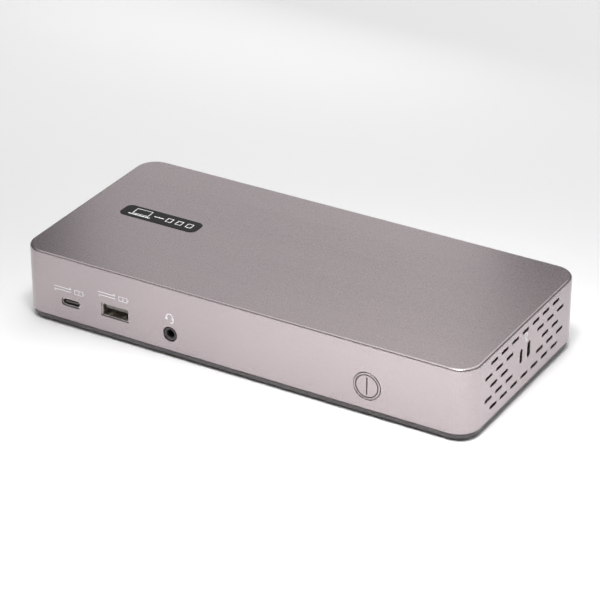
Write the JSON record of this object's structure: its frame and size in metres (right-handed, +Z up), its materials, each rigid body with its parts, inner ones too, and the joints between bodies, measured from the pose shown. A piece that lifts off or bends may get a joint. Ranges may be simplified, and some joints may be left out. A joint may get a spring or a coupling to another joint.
{
  "type": "laptop docking station",
  "caption": "Low oblong docking station with a satin metal shell, data, audio and video ports on its front and rear, side vents, lock slots, rubber feet and a push button.",
  "frame": {"origin": "on the desk under the middle of the dock", "axes": "+X to the right seen from the front, along the longest side; +Y from the front to the rear; +Z up. The front, with the power button, faces -Y."},
  "size_m": [0.21, 0.0972, 0.0329],
  "materials": {
    "anodised_aluminium": "satin, bead-blasted space grey",
    "base_plastic": "matte",
    "black_gloss": "gloss",
    "foot_rubber": "matte",
    "lock_steel": "brushed",
    "screw_steel": "black zinc",
    "brass_insert": "plain",
    "board_laminate": "solder mask",
    "insulating_film": "translucent matte",
    "chip_epoxy": "matte",
    "thermal_gum": "matte",
    "heat_sink_aluminium": "black anodised",
    "capacitor_can": "plain",
    "ferrite": "matte",
    "crystal_can": "plain",
    "port_steel": "nickel plated",
    "port_plastic": "matte",
    "gold_contact": "gold plated",
    "jack_plastic": "matte",
    "led_lens": "translucent",
    "switch_plastic": "matte",
    "guide_plastic": "matte",
    "spring_steel": "plain"
  },
  "bodies": {
    "dock": {"housing": "anodised_aluminium", "base_tray": "base_plastic", "name_plate": "black_gloss", "lock_plate": "lock_steel", "foot_front_left": "foot_rubber", "foot_front_right": "foot_rubber", "foot_rear_left": "foot_rubber", "foot_rear_right": "foot_rubber", "case_screws": "screw_steel", "board_screws": "screw_steel", "guide_screws": "screw_steel", "threaded_inserts": "brass_insert", "main_board": "board_laminate", "insulating_sheet": "insulating_film", "display_chip": "chip_epoxy", "hub_chip": "chip_epoxy", "ethernet_chip": "chip_epoxy", "power_chip": "chip_epoxy", "thermal_pad": "thermal_gum", "heat_sink": "heat_sink_aluminium", "capacitors": "capacitor_can", "inductors": "ferrite", "crystals": "crystal_can", "ethernet_transformer": "chip_epoxy", "ethernet_jack_shell": "port_steel", "ethernet_jack_insert": "port_plastic", "ethernet_jack_contacts": "gold_contact", "ethernet_leds": "led_lens", "dc_jack_body": "jack_plastic", "dc_jack_pin": "port_steel", "dc_jack_contact": "port_steel", "headset_jack_body": "jack_plastic", "headset_jack_contacts": "gold_contact", "button_guide": "guide_plastic", "switch_body": "switch_plastic", "switch_bracket": "spring_steel", "switch_dome": "spring_steel", "front_usb_a_contacts": "gold_contact", "usb_stack_contacts": "gold_contact", "usb_stack_1_tongues": "port_plastic", "usb_stack_2_tongues": "port_plastic", "front_usb_c_shell": "port_steel", "front_usb_c_tongue": "port_plastic", "host_usb_c_shell": "port_steel", "host_usb_c_tongue": "port_plastic", "front_usb_a_shell": "port_steel", "front_usb_a_tongue": "port_plastic", "usb_stack_1_shell": "port_steel", "usb_stack_2_shell": "port_steel", "video_port_1_shell": "port_steel", "video_port_1_tongue": "port_plastic", "video_port_2_shell": "port_steel", "video_port_2_tongue": "port_plastic", "video_port_3_shell": "port_steel", "video_port_3_tongue": "port_plastic", "video_port_4_shell": "port_steel", "video_port_4_tongue": "port_plastic"},
    "power_button": {"power_button": "anodised_aluminium"},
    "switch_plunger": {"switch_plunger": "switch_plastic"}
  },
  "joints": [
    {"name": "power_button_press", "type": "slide", "parent": "dock", "child": "power_button", "axis": [0, 1, 0], "range_m": [0, 0.0004], "stiffness_N_per_m": 3000},
    {"name": "switch_plunger_press", "type": "slide", "parent": "dock", "child": "switch_plunger", "axis": [0, 1, 0], "range_m": [0, 0.0005]}
  ],
  "couplings": [
    {"joint": "switch_plunger_press", "follows": "power_button_press", "ratio": 1}
  ]
}
